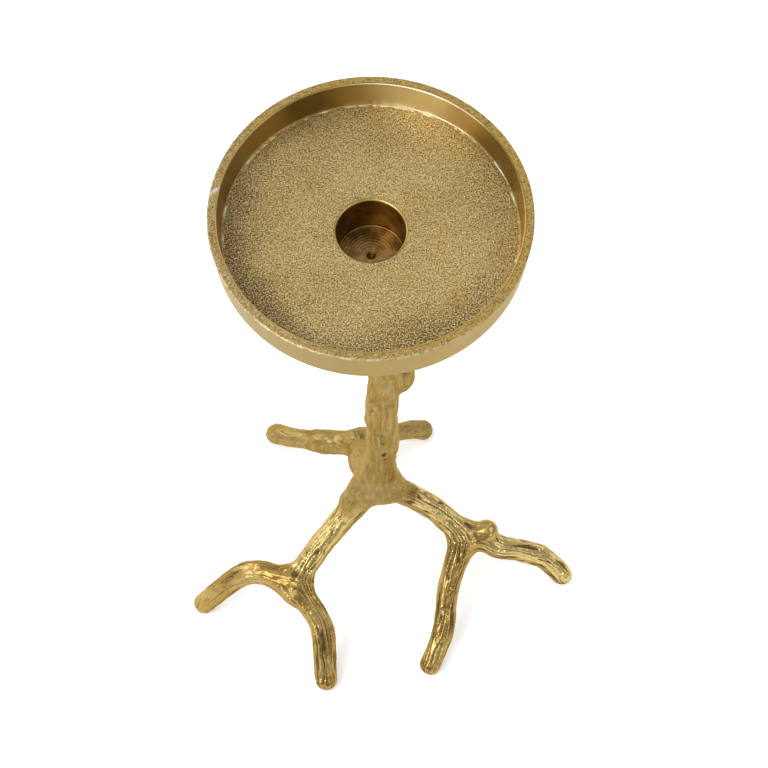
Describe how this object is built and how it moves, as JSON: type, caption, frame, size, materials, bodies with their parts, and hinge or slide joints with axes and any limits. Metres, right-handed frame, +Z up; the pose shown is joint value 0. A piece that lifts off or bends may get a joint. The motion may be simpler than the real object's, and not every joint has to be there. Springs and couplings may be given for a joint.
{
  "type": "pillar candle holder",
  "caption": "Pillar candle holder: a shallow round dish with a central taper socket on a twig-shaped stem that stands on forked branch legs, all in antique gold.",
  "frame": {"origin": "on the surface it stands on, under the middle of the whole object's box; the dish's axis is 3.15 mm to the left of it and 5.95 mm behind it", "axes": "+Z up along the dish's axis, +X to the right with the two front legs towards the viewer, +Y to the back, towards the rear leg"},
  "size_m": [0.156, 0.1204, 0.27],
  "materials": {
    "tray_gold": "antique gold, fine cast grain on the floor and rim, turned satin on the outer wall",
    "branch_gold": "antique gold, cast bark relief rubbed bright on its high spots",
    "zinc_steel": "zinc plated"
  },
  "bodies": {
    "root": {"candle_tray": "tray_gold", "tray_stud": "zinc_steel", "trunk": "branch_gold", "left_leg": "branch_gold", "right_leg": "branch_gold", "rear_leg": "branch_gold"}
  },
  "joints": []
}
